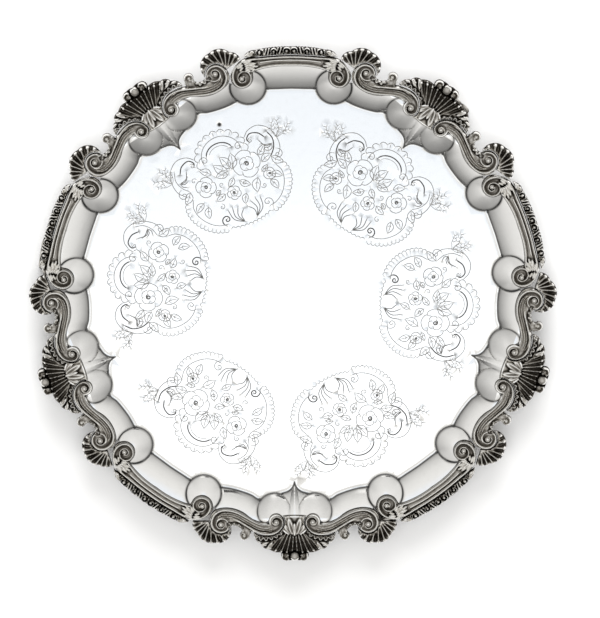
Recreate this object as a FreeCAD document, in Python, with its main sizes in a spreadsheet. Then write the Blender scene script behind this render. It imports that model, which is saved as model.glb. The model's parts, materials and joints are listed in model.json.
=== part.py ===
"""Chased silver salver with a cast rococo border on three scroll feet.

The salver has five equal sectors. In each one a large shell stands in the middle, with a double
scroll, a small shell and half of a long fluted scroll on either side of it. All outlines below are
drawn in the frame of one sector: x runs along the rim, y runs outwards through the large shell,
and both are measured from the salver's axis. Lengths are in millimetres.

The origin is on the axis, in the plane that the feet stand on. One large shell points along -Y.
"""
import FreeCAD, Part
import math
import os

from FreeCAD import Placement, Rotation, Vector

DRIVING_DIMENSIONS = (
    ("sector_count", 5, "equal sectors round the rim"),
    ("border_radius", 205.3, "axis to the tip of a large shell"),
    ("floor_top", 20.0, "height of the flat that things stand on"),
    ("rim_rise", 8.0, "flat to the lip that the castings are soldered to"),
    ("sheet_gauge", 1.2, "thickness of the raised sheet"),
    ("scroll_depth", 5.0, "thickness of the scroll castings"),
    ("shell_depth", 6.0, "thickness of the large shells"),
    ("fan_depth", 5.0, "thickness of the small shells"),
    ("gadroon_depth", 4.5, "thickness of the gadrooned strips"),
    ("foot_count", 3, "cast scroll feet"),
    ("foot_width", 25.0, "width of a foot along the rim"),
    ("first_foot_angle", 50.0, "place of the first foot round the rim"),
)

# The radius that the outlines below are drawn at. They grow with border_radius.
DRAWN_RADIUS = 205.3

# An outline is a chain: a corner, a point that the arc passes through, the next corner, and so on.
# None in place of the middle point makes the stretch straight.
FLOOR_HALF = (
    (0.0, 144.5), (2.5, 150.0), (9.0, 153.3),
    (19.0, 154.8), (27.0, 158.5),
    (41.0, 152.1), (57.0, 148.5),
    (68.0, 139.0), (79.0, 143.5),
    (87.7, 138.0), (96.1, 132.3),
)
LIP_HALF = (
    (0.0, 171.0), (5.0, 170.93), (10.0, 170.7),
    (18.0, 171.6), (26.0, 177.0),
    (41.0, 170.5), (58.0, 166.0),
    (70.0, 158.5), (84.0, 163.0),
    (96.5, 157.2), (108.4, 149.3),
)
LARGE_SHELL_HALF = (
    (0.0, 168.6), None, (9.4, 169.4),
    (7.7, 172.0), (7.8, 175.0),
    (11.6, 182.0), (20.4, 185.4),
    (26.0, 185.2), (31.5, 182.9),
    (30.8, 188.0), (26.5, 191.5),
    (24.5, 195.0), (20.0, 196.2),
    (15.0, 198.8), (10.0, 198.6),
    (10.2, 203.0), (6.0, 205.0),
    (3.0, 205.3), (0.0, 204.6),
)
DOUBLE_SCROLL = (
    (20.0, 175.4), (14.2, 167.8), (8.2, 173.8),
    (11.8, 181.4), (20.5, 184.9),
    (29.5, 183.2), (35.2, 180.8),
    (33.8, 182.5), (34.9, 184.6),
    (39.3, 189.0), (42.4, 183.7),
    (41.3, 182.5), (41.0, 180.7),
    (45.5, 177.3), (49.8, 177.8),
    (57.0, 183.2), (65.0, 177.5),
    (65.3, 169.0), (57.5, 163.3),
    (46.5, 164.0), (37.0, 168.8),
    (31.0, 172.8), (25.0, 174.8),
    (22.5, 174.9), (20.0, 175.4),
)
SMALL_SHELL = (
    (49.4, 178.4), (57.0, 183.6), (65.4, 177.7),
    None, (66.6, 173.4),
    None, (79.0, 173.4),
    (79.0, 178.5), (75.5, 183.0),
    (71.5, 189.0), (62.5, 191.2),
    (52.6, 188.6), (49.4, 178.4),
)
# The long scroll and the strip outside it are drawn with y running through the scroll's middle.
LONG_SCROLL_HALF = (
    (0.0, 190.0), (12.9, 189.5), (25.7, 188.4),
    (36.2, 186.9), (43.3, 179.4),
    (45.2, 170.4), (37.3, 164.5),
    (30.7, 167.1), (28.5, 174.6),
    None, (28.6, 177.2),
    (14.5, 180.7), (0.0, 181.3),
)
GADROON_HALF = (
    (0.0, 196.5), (13.4, 196.1), (26.5, 193.8),
    (31.8, 192.7), (35.6, 188.6),
    (30.6, 188.7), (25.7, 188.8),
    (12.9, 189.9), (0.0, 190.4),
)
# Side view of a foot: distance from the axis, then height as a share of the rim's height.
FOOT_PROFILE = (
    (185.2, 1.0), None, (192.0, 1.0),
    (195.0, 0.72), (191.5, 0.44),
    (191.8, 0.30), (196.5, 0.30),
    (199.2, 0.14), (195.5, 0.0),
    None, (189.5, 0.0),
    (184.4, 0.12), (185.0, 0.44),
    (187.6, 0.72), (185.2, 1.0),
)


def make_sheet(doc):
    """The spreadsheet with the driving dimensions, one aliased cell each."""
    sheet = doc.addObject("Spreadsheet::Sheet", "dimensions")
    for row, (alias, value, meaning) in enumerate(DRIVING_DIMENSIONS, start=1):
        sheet.set(f"A{row}", alias)
        sheet.set(f"B{row}", str(value))
        sheet.set(f"C{row}", meaning)
        sheet.setAlias(f"B{row}", alias)
    doc.recompute()
    return sheet


def scaled(chain, sheet):
    """A chain at the salver's own size."""
    scale = sheet.border_radius / DRAWN_RADIUS
    return [point if point is None else (point[0] * scale, point[1] * scale) for point in chain]


def turned(chain, degrees):
    """A chain turned clockwise about the axis, as seen from above."""
    cosine = math.cos(math.radians(degrees))
    sine = math.sin(math.radians(degrees))
    return [
        point if point is None
        else (point[0] * cosine + point[1] * sine, point[1] * cosine - point[0] * sine)
        for point in chain
    ]


def mirrored(chain):
    """A chain mirrored in the sector's middle line, run the other way."""
    return [point if point is None else (-point[0], point[1]) for point in reversed(chain)]


def whole_from_half(half):
    """A closed chain from the half that starts and ends on the middle line."""
    return list(half) + mirrored(half)[1:]


def ring_from_half(half, sheet):
    """A closed chain round the whole salver from half a sector."""
    count = int(sheet.sector_count)
    sector = mirrored(half)[:-1] + list(half)
    ring = []
    for number in range(count):
        ring += turned(sector, number * 360 / count)[:-1]
    return ring + [ring[0]]


def add_body(doc, label):
    """An empty body whose label names the sub-part."""
    body = doc.addObject("PartDesign::Body", label)
    body.Label = label
    return body


def add_sketch(body, name, chain, plane="XY_Plane"):
    """A sketch of a closed chain of arcs and lines on one of the body's own planes."""
    sketch = body.newObject("Sketcher::SketchObject", name)
    support = next(item for item in body.Origin.OriginFeatures if item.Role == plane)
    sketch.AttachmentSupport = (support, [""])
    sketch.MapMode = "FlatFace"
    for index in range(0, len(chain) - 1, 2):
        first = Vector(*chain[index], 0)
        last = Vector(*chain[index + 2], 0)
        if chain[index + 1] is None:
            sketch.addGeometry(Part.LineSegment(first, last), False)
        else:
            sketch.addGeometry(Part.Arc(first, Vector(*chain[index + 1], 0), last), False)
    return sketch


def place_in_sector(body, sheet, sector, start=0.0):
    """Turn a body into its sector. Sector 0 lies along -Y and the rest follow clockwise."""
    turn = 180 - start - sector * 360 / sheet.sector_count
    body.Placement = Placement(Vector(0, 0, 0), Rotation(Vector(0, 0, 1), turn))


def casting(doc, sheet, label, chain, depth):
    """A border casting: its outline raised from the lip by the depth named in the sheet."""
    body = add_body(doc, label)
    sketch = add_sketch(body, f"{label}_outline", scaled(chain, sheet))
    sketch.setExpression("AttachmentOffset.Base.z", "dimensions.floor_top + dimensions.rim_rise")
    pad = body.newObject("PartDesign::Pad", f"{label}_relief")
    pad.Profile = sketch
    pad.setExpression("Length", f"dimensions.{depth}")
    return body


def plate_loft(body, kind, name, floor_height, lip_height, sheet):
    """Loft the flat's outline up to the lip's outline, as material or as the well in it."""
    floor = add_sketch(body, f"{name}_floor", scaled(ring_from_half(FLOOR_HALF, sheet), sheet))
    floor.setExpression("AttachmentOffset.Base.z", floor_height)
    lip = add_sketch(body, f"{name}_lip", scaled(ring_from_half(LIP_HALF, sheet), sheet))
    lip.setExpression("AttachmentOffset.Base.z", lip_height)
    loft = body.newObject(kind, name)
    loft.Profile = floor
    loft.Sections = [lip]
    loft.Ruled = True
    return loft


def make_plate(doc, sheet):
    """The raised sheet: a flat with bubbled and hollowed panels rising to the lip."""
    body = add_body(doc, "plate")
    floor_under = "dimensions.floor_top - dimensions.sheet_gauge"
    lip_top = "dimensions.floor_top + dimensions.rim_rise"
    plate_loft(body, "PartDesign::AdditiveLoft", "dish", floor_under, lip_top, sheet)
    plate_loft(body, "PartDesign::SubtractiveLoft", "well", "dimensions.floor_top",
               f"{lip_top} + dimensions.sheet_gauge", sheet)
    place_in_sector(body, sheet, 0)
    return [body]


def make_large_shells(doc, sheet):
    """One large shell in the middle of each sector."""
    shells = []
    for sector in range(int(sheet.sector_count)):
        body = casting(doc, sheet, f"large_shell_{sector + 1}",
                       whole_from_half(LARGE_SHELL_HALF), "shell_depth")
        place_in_sector(body, sheet, sector)
        shells.append(body)
    return shells


def make_side_pairs(doc, sheet, name, chain, depth):
    """A casting and its mirror image on both sides of every large shell."""
    bodies = []
    for sector in range(int(sheet.sector_count)):
        for side, outline in enumerate((list(chain), mirrored(chain)), start=1):
            body = casting(doc, sheet, f"{name}_{2 * sector + side}", outline, depth)
            place_in_sector(body, sheet, sector)
            bodies.append(body)
    return bodies


def make_between_shells(doc, sheet, name, half, depth):
    """One casting centred between each pair of large shells."""
    half_sector = 180 / sheet.sector_count
    whole = whole_from_half(half)
    bodies = []
    for sector in range(int(sheet.sector_count)):
        body = casting(doc, sheet, f"{name}_{sector + 1}", whole, depth)
        place_in_sector(body, sheet, sector, half_sector)
        bodies.append(body)
    return bodies


def make_feet(doc, sheet):
    """Cast scroll feet soldered under the border, evenly spaced."""
    rim_height = sheet.floor_top + sheet.rim_rise
    scale = sheet.border_radius / DRAWN_RADIUS
    profile = [point if point is None else (point[0] * scale, point[1] * rim_height)
               for point in FOOT_PROFILE]
    feet = []
    for number in range(int(sheet.foot_count)):
        label = f"foot_{number + 1}"
        body = add_body(doc, label)
        sketch = add_sketch(body, f"{label}_profile", profile, "XZ_Plane")
        pad = body.newObject("PartDesign::Pad", f"{label}_block")
        pad.Profile = sketch
        pad.SideType = "Symmetric"
        pad.setExpression("Length", "dimensions.foot_width")
        turn = sheet.first_foot_angle + number * 360 / sheet.foot_count
        body.Placement = Placement(Vector(0, 0, 0), Rotation(Vector(0, 0, 1), turn))
        feet.append(body)
    return feet


def check(doc, bodies):
    """Stop if any feature failed or any sub-part isn't one valid solid."""
    for item in doc.Objects:
        if "Invalid" in item.State or "Error" in item.State:
            raise RuntimeError(f"{item.Label} failed: {item.State}")
    for body in bodies:
        if body.Shape.isNull() or not body.Shape.isValid() or len(body.Shape.Solids) != 1:
            raise RuntimeError(f"{body.Label} isn't one valid solid")


def main():
    doc = FreeCAD.newDocument("salver")
    sheet = make_sheet(doc)
    bodies = make_plate(doc, sheet)
    bodies += make_large_shells(doc, sheet)
    bodies += make_side_pairs(doc, sheet, "double_scroll", DOUBLE_SCROLL, "scroll_depth")
    bodies += make_side_pairs(doc, sheet, "small_shell", SMALL_SHELL, "fan_depth")
    bodies += make_between_shells(doc, sheet, "long_scroll", LONG_SCROLL_HALF, "scroll_depth")
    bodies += make_between_shells(doc, sheet, "gadroon", GADROON_HALF, "gadroon_depth")
    bodies += make_feet(doc, sheet)
    doc.recompute()
    check(doc, bodies)
    os.makedirs("parts", exist_ok=True)
    for body in bodies:
        body.Shape.exportStep(f"parts/{body.Label}.step")
        print(f"{body.Label}: {body.Shape.Volume / 1000:.2f} cm3")


main()
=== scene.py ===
"""Looks of the silver salver: relief castings, the chased and panelled plate, feet, metal and light.

Shapes are drawn in drawing units, which are millimetres at the CAD's own size, in the frame of one
sector: x along the rim, y outwards through the middle of a large shell, z up.
"""
import json
import math

import bmesh
import bpy
import numpy as np
from mathutils import Matrix, Vector
from mathutils.geometry import delaunay_2d_cdt
from mathutils.kdtree import KDTree


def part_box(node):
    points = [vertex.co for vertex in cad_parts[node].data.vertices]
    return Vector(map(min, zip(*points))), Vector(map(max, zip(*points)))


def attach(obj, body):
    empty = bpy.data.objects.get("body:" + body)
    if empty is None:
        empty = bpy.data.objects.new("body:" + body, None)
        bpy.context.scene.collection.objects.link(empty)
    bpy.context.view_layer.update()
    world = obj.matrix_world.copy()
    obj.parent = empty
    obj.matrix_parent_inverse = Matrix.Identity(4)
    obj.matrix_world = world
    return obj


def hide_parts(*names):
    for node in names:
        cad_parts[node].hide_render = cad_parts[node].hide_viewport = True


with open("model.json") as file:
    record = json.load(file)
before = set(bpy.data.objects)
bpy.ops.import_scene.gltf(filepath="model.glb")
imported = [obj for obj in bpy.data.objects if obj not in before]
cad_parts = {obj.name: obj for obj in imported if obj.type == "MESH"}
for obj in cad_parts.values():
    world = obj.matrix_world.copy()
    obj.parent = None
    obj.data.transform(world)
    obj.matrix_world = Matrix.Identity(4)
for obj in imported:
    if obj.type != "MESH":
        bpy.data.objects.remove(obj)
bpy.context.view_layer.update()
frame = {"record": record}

# ---------------------------------------------------------------- sizes from the frame
# How far the large shells reach from the middle, in drawing units
DRAWN_RADIUS = 205.3
UNIT = -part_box("large_shell_1")[0][1] / DRAWN_RADIUS
SECTORS = 5
SECTOR_ANGLE = 360 / SECTORS
FLAT_Z = frame["record"]["mounts"][1]["pos_m"][2] / UNIT
LIP_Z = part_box("large_shell_1")[0][2] / UNIT
RISE = LIP_Z - FLAT_Z
SHEET_GAUGE = 1.2

# ---------------------------------------------------------------- curves and distances


def smoothstep(value):
    value = np.clip(value, 0, 1)
    return value * value * (3 - 2 * value)


def bump(distance, width):
    """1 at no distance, falling away smoothly over the width."""
    return np.exp(-(distance / width) ** 2)


def smooth_path(points, per_span=24, closed=False):
    """Catmull-Rom curve through given points."""
    points = np.asarray(points, float)
    if closed:
        padded = np.vstack([points[-1], points, points[0], points[1]])
    else:
        padded = np.vstack([2 * points[0] - points[1], points, 2 * points[-1] - points[-2]])
    steps = np.linspace(0, 1, per_span, endpoint=False)[:, None]
    spans = []
    for index in range(len(padded) - 3):
        before, start, end, after = padded[index:index + 4]
        spans.append(0.5 * (2 * start + (end - before) * steps
                            + (2 * before - 5 * start + 4 * end - after) * steps ** 2
                            + (3 * start - before - 3 * end + after) * steps ** 3))
    curve = np.vstack(spans)
    return curve if closed else np.vstack([curve, points[-1]])


def around(centre, radii, turns):
    """Points round a centre, at angles in radians anticlockwise from x."""
    return np.stack([centre[0] + radii[0] * np.cos(turns), centre[1] + radii[1] * np.sin(turns)], axis=1)


def circle(centre, radius, count):
    return around(centre, (radius, radius), np.arange(count) * 2 * math.pi / count)


def spiral(centre, outer, inner, start, sweep):
    """Angles in degrees, anticlockwise."""
    share = np.linspace(0, 1, 60)
    radius = outer * (inner / outer) ** share
    return around(centre, (radius, radius), np.radians(start + sweep * share))


def turned(points, turn):
    """Points turned anticlockwise about the origin."""
    across = points[:, 0] * math.cos(turn) - points[:, 1] * math.sin(turn)
    up = points[:, 0] * math.sin(turn) + points[:, 1] * math.cos(turn)
    return np.stack([across, up], axis=1)


def lengths_along(path):
    steps = np.hypot(*np.diff(path, axis=0).T)
    return np.concatenate([[0], np.cumsum(steps)])


def resampled(path, count):
    along = lengths_along(path)
    marks = np.linspace(0, along[-1], count)
    return np.stack([np.interp(marks, along, path[:, 0]), np.interp(marks, along, path[:, 1])], axis=1)


def directions_along(path):
    """Unit vectors along a path, and to its left."""
    tangent = np.gradient(path, axis=0)
    tangent /= np.maximum(np.hypot(*tangent.T), 1e-9)[:, None]
    return tangent, np.stack([-tangent[:, 1], tangent[:, 0]], axis=1)


def distance_to_line(path, x, y):
    best = np.full(x.shape, 1e9)
    for (ax, ay), (bx, by) in zip(path[:-1], path[1:]):
        dx, dy = bx - ax, by - ay
        share = np.clip(((x - ax) * dx + (y - ay) * dy) / max(dx * dx + dy * dy, 1e-12), 0, 1)
        best = np.minimum(best, np.hypot(x - ax - share * dx, y - ay - share * dy))
    return best


def nearest_on(path, x, y, widths=None):
    """Distance from each point to a path in half-widths, the place along it from 0 to 1, and the
    signed distance, positive on the path's left."""
    widths = np.ones(len(path)) if widths is None else widths
    flat_x, flat_y = x.ravel(), y.ravel()
    best = np.full(flat_x.shape, 1e9)
    where = np.zeros(flat_x.shape, int)
    for index, ((px, py), width) in enumerate(zip(path, widths)):
        ratio = np.hypot(flat_x - px, flat_y - py) / width
        closer = ratio < best
        best[closer] = ratio[closer]
        where[closer] = index
    tangent = np.gradient(path, axis=0)
    offset_x, offset_y = flat_x - path[where, 0], flat_y - path[where, 1]
    side = np.sign(tangent[where, 0] * offset_y - tangent[where, 1] * offset_x)
    along = lengths_along(path)
    return (best.reshape(x.shape), (along[where] / along[-1]).reshape(x.shape),
            (side * best * widths[where]).reshape(x.shape))


def inside_polygon(polygon, x, y):
    """Distance to a closed polygon, positive inside it."""
    closed = np.vstack([polygon, polygon[:1]])
    distance = distance_to_line(closed, x, y)
    crossings = np.zeros(x.shape, int)
    for (ax, ay), (bx, by) in zip(closed[:-1], closed[1:]):
        if ay != by:
            spans = (ay > y) != (by > y)
            crossings += spans & (x < ax + (y - ay) * (bx - ax) / (by - ay))
    return np.where(crossings % 2 == 1, distance, -distance)


def outline_of(node, turn):
    """A casting's outline, read from its CAD solid and turned back into the sector's frame."""
    mesh = bmesh.new()
    mesh.from_mesh(bpy.data.objects[node].data)
    bmesh.ops.remove_doubles(mesh, verts=mesh.verts, dist=1e-6)
    top = max(vertex.co.z for vertex in mesh.verts)
    nexts = {}
    for edge in mesh.edges:
        flats = [face for face in edge.link_faces if face.normal.z > 0.9]
        if len(flats) == 1 and all(vertex.co.z > top - 1e-5 for vertex in edge.verts):
            loop = next(loop for loop in edge.link_loops if loop.face == flats[0])
            nexts[loop.vert.index] = loop.link_loop_next.vert.index
    mesh.verts.ensure_lookup_table()
    start = next(iter(nexts))
    order = [start]
    while nexts[order[-1]] != start:
        order.append(nexts[order[-1]])
    back = Matrix.Rotation(-turn, 3, "Z")
    points = np.array([(back @ mesh.verts[index].co)[:2] for index in order]) / UNIT
    mesh.free()
    return points


# ---------------------------------------------------------------- relief castings


class Relief:
    """A height map over a grid: each part raises it, and the casting is where a part is."""

    def __init__(self, low, high, node, turn=math.pi, tarnish=0.30, pitch=0.25):
        """From a low to a high corner, for a node's outline turned back by its turn from this frame."""
        self.x, self.y = np.meshgrid(np.arange(low[0], high[0], pitch),
                                     np.arange(low[1], high[1], pitch), indexing="ij")
        self.pitch = pitch
        self.tarnish = tarnish
        self.outline = inside_polygon(outline_of(node, turn), self.x, self.y)
        self.inside = np.full(self.x.shape, -9.0)
        self.height = np.zeros(self.x.shape)

    def add(self, inside, height):
        """Raise the map to a height where inside is above 0."""
        self.height = np.where(inside > 0, np.maximum(self.height, height), self.height)
        self.inside = np.maximum(self.inside, inside)

    def carve(self, inside, depth):
        """Lower the map where inside is above 0."""
        self.height = np.where(inside > 0, self.height - depth, self.height)

    def level(self, inside, height):
        """Set the map to a height where inside is above 0."""
        self.height = np.where(inside > 0, height, self.height)

    def ridge(self, path, half_width, height, roundness=0.55):
        """A rounded strip along a path. Width and height may change along it."""
        share = lengths_along(path) / lengths_along(path)[-1]
        widths = np.interp(share, *zip(*half_width)) if isinstance(half_width, (list, tuple)) \
            else np.full(len(path), float(half_width))
        ratio, along, _ = nearest_on(path, self.x, self.y, widths)
        tall = np.interp(along, *zip(*height)) if isinstance(height, (list, tuple)) else height
        crown = np.clip(1 - ratio ** 2, 0, None) ** roundness
        self.add((1 - ratio) * np.interp(along, share, widths), tall * (0.35 + 0.65 * crown))

    def boss(self, centre, radius, height):
        """A round button."""
        ratio = np.hypot(self.x - centre[0], self.y - centre[1]) / radius
        crown = np.sqrt(np.clip(1 - ratio ** 2, 0, None))
        self.add((1 - ratio) * radius, height * (0.4 + 0.6 * crown))

    def petal(self, root, tip, half_width, height, groove, side=1):
        """A leaf lobe from its root to its tip, fullest past the middle, with a hollow along it. Side
        is -1 for its mirror image in x."""
        root, tip = np.multiply(root, (side, 1.0)), np.multiply(tip, (side, 1.0))
        reach = np.hypot(*(tip - root))
        axis = (tip - root) / reach
        along = ((self.x - root[0]) * axis[0] + (self.y - root[1]) * axis[1]) / reach
        across = (self.y - root[1]) * axis[0] - (self.x - root[0]) * axis[1]
        fullness = np.sqrt(np.clip(1 - ((along - 0.55) / 0.5) ** 2, 1e-6, None))
        ratio = np.abs(across) / (half_width * fullness)
        outside = np.maximum(ratio, np.abs(along - 0.55) / 0.5)
        crown = np.clip(1 - ratio ** 2, 0, None) ** 0.5
        hollow = groove * bump(across, 0.3 * half_width)
        self.add((1 - outside) * half_width, height * (0.45 + 0.55 * crown) - hollow)


def blurred(values, radius):
    """Three box blurs each way."""
    size = max(1, int(round(radius)))
    for _ in range(6):
        sums = np.cumsum(np.pad(values, ((size + 1, size), (0, 0)), mode="edge"), axis=0)
        values = (sums[2 * size + 1:] - sums[:-2 * size - 1]).T / (2 * size + 1)
    return values


EDGE_RADIUS = 0.8
CASTING_BACK = 1.0
GROOVE_GAIN = 0.85
COVE_GAIN = 0.12
BACK_PATINA = 0.55


def relief_mesh(relief, name):
    """A closed mesh of a relief: its top from the height map, a low wall and a flat back."""
    inside, height = np.minimum(relief.inside, relief.outline), relief.height
    edge = np.clip(inside / EDGE_RADIUS, 0, 1)
    height = height * np.sqrt(1 - (1 - edge) ** 2)
    solid = np.where(inside > 0, height, 0)
    narrow = blurred(solid, 0.3 / relief.pitch)
    groove = blurred(solid, 0.8 / relief.pitch) - narrow
    cove = blurred(solid, 2.2 / relief.pitch) - narrow
    recess = np.clip(relief.tarnish + GROOVE_GAIN * groove + COVE_GAIN * cove, 0, 1)
    x, y, z = relief.x.copy(), relief.y.copy(), height.copy()
    within = inside > 0
    moved_x, moved_y, weight = np.zeros(x.shape), np.zeros(x.shape), np.zeros(x.shape)
    for shift_x in (-1, 0, 1):
        for shift_y in (-1, 0, 1):
            if shift_x == 0 and shift_y == 0:
                continue
            near = np.roll(inside, (-shift_x, -shift_y), (0, 1))
            touches = (~within) & (near > 0)
            share = np.where(touches, inside / np.where(touches, inside - near, 1), 0)
            moved_x += np.where(touches, x + share * shift_x * relief.pitch, 0)
            moved_y += np.where(touches, y + share * shift_y * relief.pitch, 0)
            weight += touches
    fringe = weight > 0
    x[fringe] = moved_x[fringe] / weight[fringe]
    y[fringe] = moved_y[fringe] / weight[fringe]
    z[fringe] = 0
    usable = within | fringe
    cells = usable[:-1, :-1] & usable[1:, :-1] & usable[1:, 1:] & usable[:-1, 1:]
    cells &= within[:-1, :-1] | within[1:, :-1] | within[1:, 1:] | within[:-1, 1:]
    number = np.arange(x.size).reshape(x.shape)
    quads = np.stack([number[:-1, :-1][cells], number[1:, :-1][cells],
                      number[1:, 1:][cells], number[:-1, 1:][cells]], axis=1)
    used = np.unique(quads)
    renumber = np.full(x.size, -1)
    renumber[used] = np.arange(len(used))
    quads = renumber[quads]
    top = np.stack([x.ravel()[used], y.ravel()[used], z.ravel()[used]], axis=1)
    back = top.copy()
    back[:, 2] = -CASTING_BACK
    rim = boundary_edges(quads)
    count = len(top)
    walls = np.stack([rim[:, 1], rim[:, 0], rim[:, 0] + count, rim[:, 1] + count], axis=1)
    faces = np.concatenate([quads, quads[:, ::-1] + count, walls])
    patina_and_shade = np.concatenate([recess.ravel()[used], np.full(count, BACK_PATINA)])
    return make_mesh(name, np.concatenate([top, back]), faces, patina_and_shade)


def boundary_edges(faces):
    """The edges that only one face has, each in that face's own direction."""
    corners = faces.shape[1]
    edges = np.concatenate([faces[:, [corner, (corner + 1) % corners]] for corner in range(corners)])
    keys = np.sort(edges, axis=1)
    _, first, counts = np.unique(keys, axis=0, return_index=True, return_counts=True)
    return edges[first[counts == 1]]


def make_mesh(name, verts, faces, patina_and_shade):
    """A mesh from drawing-unit vertices, quads or triangles, with the patina and painted shade on each
    vertex.
    """
    mesh = bpy.data.meshes.new(name)
    mesh.from_pydata((np.asarray(verts) * UNIT).tolist(), [], [tuple(face) for face in faces])
    layer = mesh.attributes.new("patina_and_shade", "FLOAT", "POINT")
    layer.data.foreach_set("value", np.asarray(patina_and_shade, dtype=np.float32))
    mesh.update()
    return mesh


def finish_mesh(mesh, sharp_angle=60):
    mesh.polygons.foreach_set("use_smooth", [True] * len(mesh.polygons))
    mesh.set_sharp_from_angle(angle=math.radians(sharp_angle))
    mesh.update()


def mirrored_mesh(mesh):
    """A copy of a mesh mirrored in x."""
    copy = mesh.copy()
    copy.transform(Matrix.Scale(-1, 4, (1, 0, 0)))
    copy.flip_normals()
    return copy


def place(mesh, kind, number, turn, material):
    """Put a copy of a sector-frame mesh in its place, as the piece that stands for a CAD node."""
    node = f"{kind}_{number}"
    data = mesh.copy()
    data.transform(Matrix.Rotation(turn, 4, "Z"))
    finish_mesh(data)
    piece = bpy.data.objects.new(f"{node}_casting", data)
    bpy.context.collection.objects.link(piece)
    data.materials.append(material)
    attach(piece, "root")
    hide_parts(node)


def sector_turn(sector, start=0.0):
    """Angle that turns the sector frame into a sector. Sector 0 lies along -Y."""
    return math.radians(180 - start - sector * SECTOR_ANGLE)


def raised(mesh, height):
    mesh.transform(Matrix.Translation((0, 0, height * UNIT)))
    return mesh


# ---------------------------------------------------------------- the castings


def ribbed(across, spacing, crest, depth, half_width):
    """Height over a fan: a crest on each rib, a hollow between with a fine line along it."""
    hollow = 1 - bump(across, half_width)
    line = bump(spacing / 2 - across, 0.36) * np.clip(spacing / 2 - 0.9, 0, 1)
    return crest - depth * hollow * (1 - 0.42 * line)


def zigzag(path, swing, wave):
    """A path that swings from side to side of another one."""
    _, normal = directions_along(path)
    return path + normal * (swing * np.sin(2 * np.pi * lengths_along(path) / wave))[:, None]


def large_shell():
    """Fluted fan with a leafy knot at its root and a rolled tip, symmetric about x = 0."""
    relief = Relief((-34, 167), (34, 208), "large_shell_1")
    x, y, outline = relief.x, relief.y, relief.outline
    relief.add(outline, 1.6)
    root_y = 171.0
    knob_y = 201.2
    dx, dy = np.abs(x), y - root_y
    radius = np.hypot(dx, dy)
    angle = np.degrees(np.arctan2(dx, dy))
    rib_step = 8.6
    rim = ((0, 28.6), (12, 28.8), (20, 29.0), (38, 31.4), (53, 33.0), (65, 33.6), (80, 33.0))
    phase = angle / rib_step - 0.5
    off_rib = np.abs(phase - np.round(phase)) * rib_step
    across = np.radians(off_rib) * radius
    edge = np.interp(angle, *zip(*rim)) - radius + 0.8 * np.cos(np.radians(off_rib / rib_step * 360))
    share = radius / np.interp(angle, *zip(*rim))
    crest = np.interp(share, [0.1, 0.35, 0.75, 0.93, 1.0], [2.8, 4.2, 5.4, 5.0, 3.6])
    depth = np.interp(share, [0.1, 0.3, 0.7, 1.0], [0.6, 1.7, 2.3, 2.0])
    spacing = np.radians(rib_step) * radius
    relief.add(np.minimum(edge, outline), ribbed(across, spacing, crest, depth, 0.55))
    mound = 1 - (x / 8.6) ** 2 - ((y - 175.5) / 8.2) ** 2
    relief.add(np.minimum(mound, outline), 1.0 + 2.4 * np.sqrt(np.clip(mound, 0, None)))
    hem = smooth_path([(10.2, 182.3), (13.5, 184.9), (19.0, 187.0), (25.0, 187.4), (31.0, 185.0)])
    curl = smooth_path([(9.4, 198.8), (9.2, 202.6), (6.2, 204.0), (4.0, 201.8), (5.4, 199.6), (7.2, 201.0)])
    for side in (-1, 1):
        for rib in range(8):
            tip_angle = (0.5 + rib) * rib_step
            reach = np.interp(tip_angle, *zip(*rim)) - 1.6
            turn = math.radians(tip_angle)
            relief.boss((side * reach * math.sin(turn), root_y + reach * math.cos(turn)), 1.15, 5.8)
        for root, tip, width, height, groove in (((1.2, 184.4), (4.4, 171.4), 2.9, 6.0, 1.0),
                                                 ((2.6, 183.8), (8.5, 175.4), 2.0, 5.2, 0.7),
                                                 ((3.6, 184.2), (9.2, 180.2), 1.2, 4.7, 0.3)):
            relief.petal(root, tip, width, height, groove, side)
        for root, tip in (((20.0, 187.5), (29.4, 189.6)), ((19.0, 188.5), (26.4, 193.2)),
                          ((17.0, 189.5), (21.6, 195.4)), ((21, 187.0), (31.0, 186.6))):
            relief.petal(root, tip, 1.5, 5.4, 1.0, side)
        relief.level(2.1 - nearest_on(hem * (side, 1), x, y)[0], 1.8)
        relief.ridge(zigzag(hem * (side, 1), 1.1, 4.1), 0.55, 4.4, 0.3)
        relief.boss((side * 6.6, 200.9), 3.0, 4.8)
        relief.ridge(curl * (side, 1), 0.65, 6.4)
    relief.petal((0, 185.2), (0, 174.8), 1.7, 6.6, 0.8)
    relief.level(4.6 - np.hypot(x, y - knob_y), 1.8)
    relief.boss((0, knob_y), 3.8, 6.6)
    knob = np.clip((5.2 - np.hypot(x, y - knob_y)) / 1.5, 0, 1)
    relief.tarnish = 0.31 + 0.19 * np.clip((y - 186) / 10, 0, 1) + 0.16 * knob
    return relief


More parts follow.
